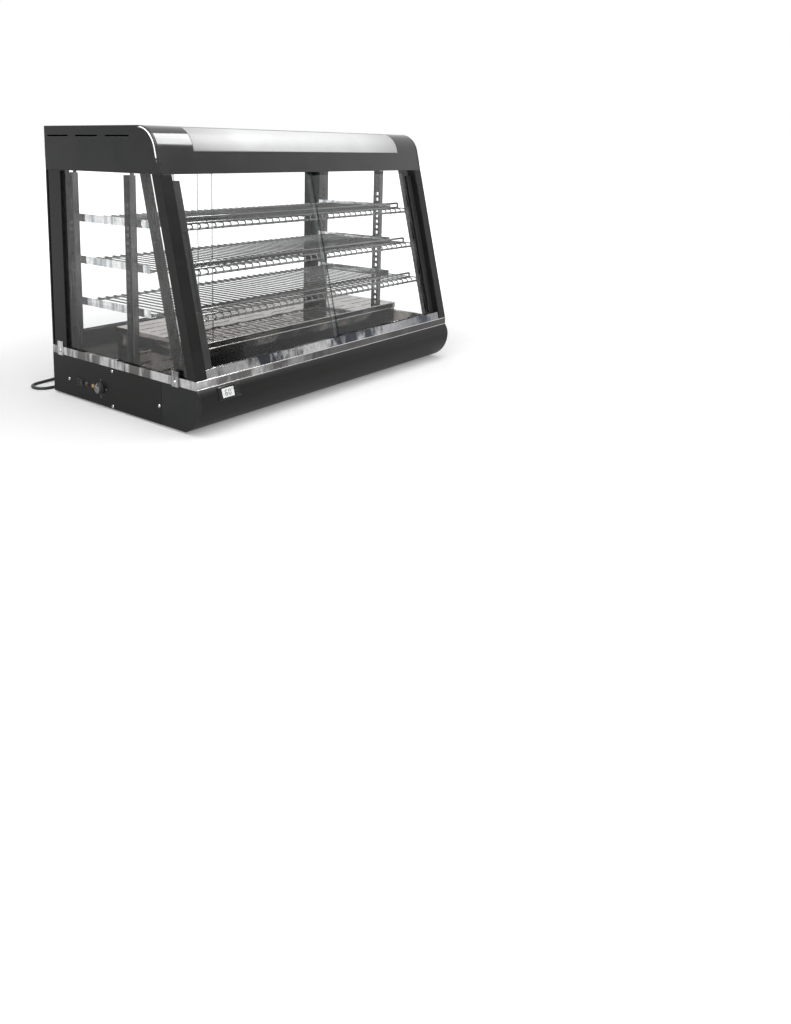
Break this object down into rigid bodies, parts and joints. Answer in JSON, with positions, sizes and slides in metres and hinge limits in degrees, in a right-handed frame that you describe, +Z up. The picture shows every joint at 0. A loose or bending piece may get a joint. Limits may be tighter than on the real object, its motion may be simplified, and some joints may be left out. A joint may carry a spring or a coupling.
{
  "type": "heated display case",
  "caption": "Countertop heated display case with a leaning glass front, sliding glass doors front and rear, wire shelves, a steel-trimmed base and a curved sign canopy.",
  "frame": {"origin": "on the table, under the middle of the case's width and body depth", "axes": "+X right along the front, +Y from the front to the back, +Z up"},
  "size_m": [0.9274, 0.6155, 0.6],
  "materials": {
    "black_sheet": "black powder coat",
    "black_plastic": "fine satin",
    "black_gloss": "gloss",
    "stainless": "brushed",
    "bright_trim": "polished",
    "galvanised": "grey",
    "clear_glass": "clear",
    "shelf_wire": "plated",
    "sign_white": "satin white",
    "lamp_glass": "frosted",
    "element_sheath": "oxidised",
    "lamp_lens": "translucent",
    "meter": "gloss",
    "rubber": "matt",
    "cord_sheath": "matt"
  },
  "bodies": {
    "cabinet": {"base_pan": "galvanised", "base_side_left": "black_sheet", "base_side_right": "black_sheet", "base_front_panel": "black_sheet", "base_rear_panel": "black_sheet", "corner_cap_left": "black_plastic", "corner_cap_right": "black_plastic", "deck_plate": "stainless", "steel_trim": "bright_trim", "front_post_left": "black_sheet", "front_post_right": "black_sheet", "rear_post_left": "black_sheet", "rear_post_right": "black_sheet", "side_glass_left": "clear_glass", "side_glass_right": "clear_glass", "slanted_strips": "stainless", "shelf_uprights_left": "stainless", "shelf_uprights_right": "stainless", "support_bars_left": "stainless", "support_bars_right": "stainless", "wire_shelf_upper": "shelf_wire", "wire_shelf_middle": "shelf_wire", "wire_shelf_lower": "shelf_wire", "front_bottom_track": "stainless", "front_top_track": "black_sheet", "rear_bottom_track": "stainless", "rear_top_track": "black_sheet", "canopy_shell": "black_sheet", "canopy_end_left": "black_plastic", "canopy_end_right": "black_plastic", "canopy_ceiling": "stainless", "canopy_rear_panel": "black_sheet", "sign_panel": "sign_white", "sign_lamp": "lamp_glass", "heater_housing": "black_sheet", "heater_cover": "black_sheet", "heating_element": "element_sheath", "water_pan": "stainless", "thermostat_body": "black_plastic", "pilot_lamps": "lamp_lens", "switch_housing": "black_plastic", "thermometer": "meter", "fasteners": "bright_trim", "glass_clips": "bright_trim", "rubber_feet": "rubber", "cord_gland": "black_plastic", "power_cord": "cord_sheath", "cord_coil": "cord_sheath", "cord_tie": "black_plastic", "cord_plug": "rubber"},
    "front_door_left": {"front_door_left_glass": "clear_glass", "front_door_left_edge": "black_plastic"},
    "front_door_right": {"front_door_right_glass": "clear_glass", "front_door_right_edge": "black_plastic"},
    "rear_door_left": {"rear_door_left_glass": "clear_glass", "rear_door_left_edge": "black_plastic"},
    "rear_door_right": {"rear_door_right_glass": "clear_glass", "rear_door_right_edge": "black_plastic"},
    "knob": {"thermostat_knob": "black_plastic"},
    "rocker": {"switch_rocker": "black_gloss"}
  },
  "joints": [
    {"name": "front_door_left_slide", "type": "slide", "parent": "cabinet", "child": "front_door_left", "axis": [1, 0, 0], "range_m": [0, 0.385]},
    {"name": "front_door_right_slide", "type": "slide", "parent": "cabinet", "child": "front_door_right", "axis": [1, 0, 0], "range_m": [-0.385, 0]},
    {"name": "rear_door_left_slide", "type": "slide", "parent": "cabinet", "child": "rear_door_left", "axis": [1, 0, 0], "range_m": [0, 0.385]},
    {"name": "rear_door_right_slide", "type": "slide", "parent": "cabinet", "child": "rear_door_right", "axis": [1, 0, 0], "range_m": [-0.385, 0]},
    {"name": "thermostat_turn", "type": "hinge", "parent": "cabinet", "child": "knob", "pos_m": [-0.451, 0.0705, 0.042], "axis": [-1, 0, 0], "range_deg": [-270, 0]},
    {"name": "switch_rock", "type": "hinge", "parent": "cabinet", "child": "rocker", "pos_m": [-0.4485, 0.1445, 0.042], "axis": [0, 0, 1], "range_deg": [-14, 0]}
  ]
}
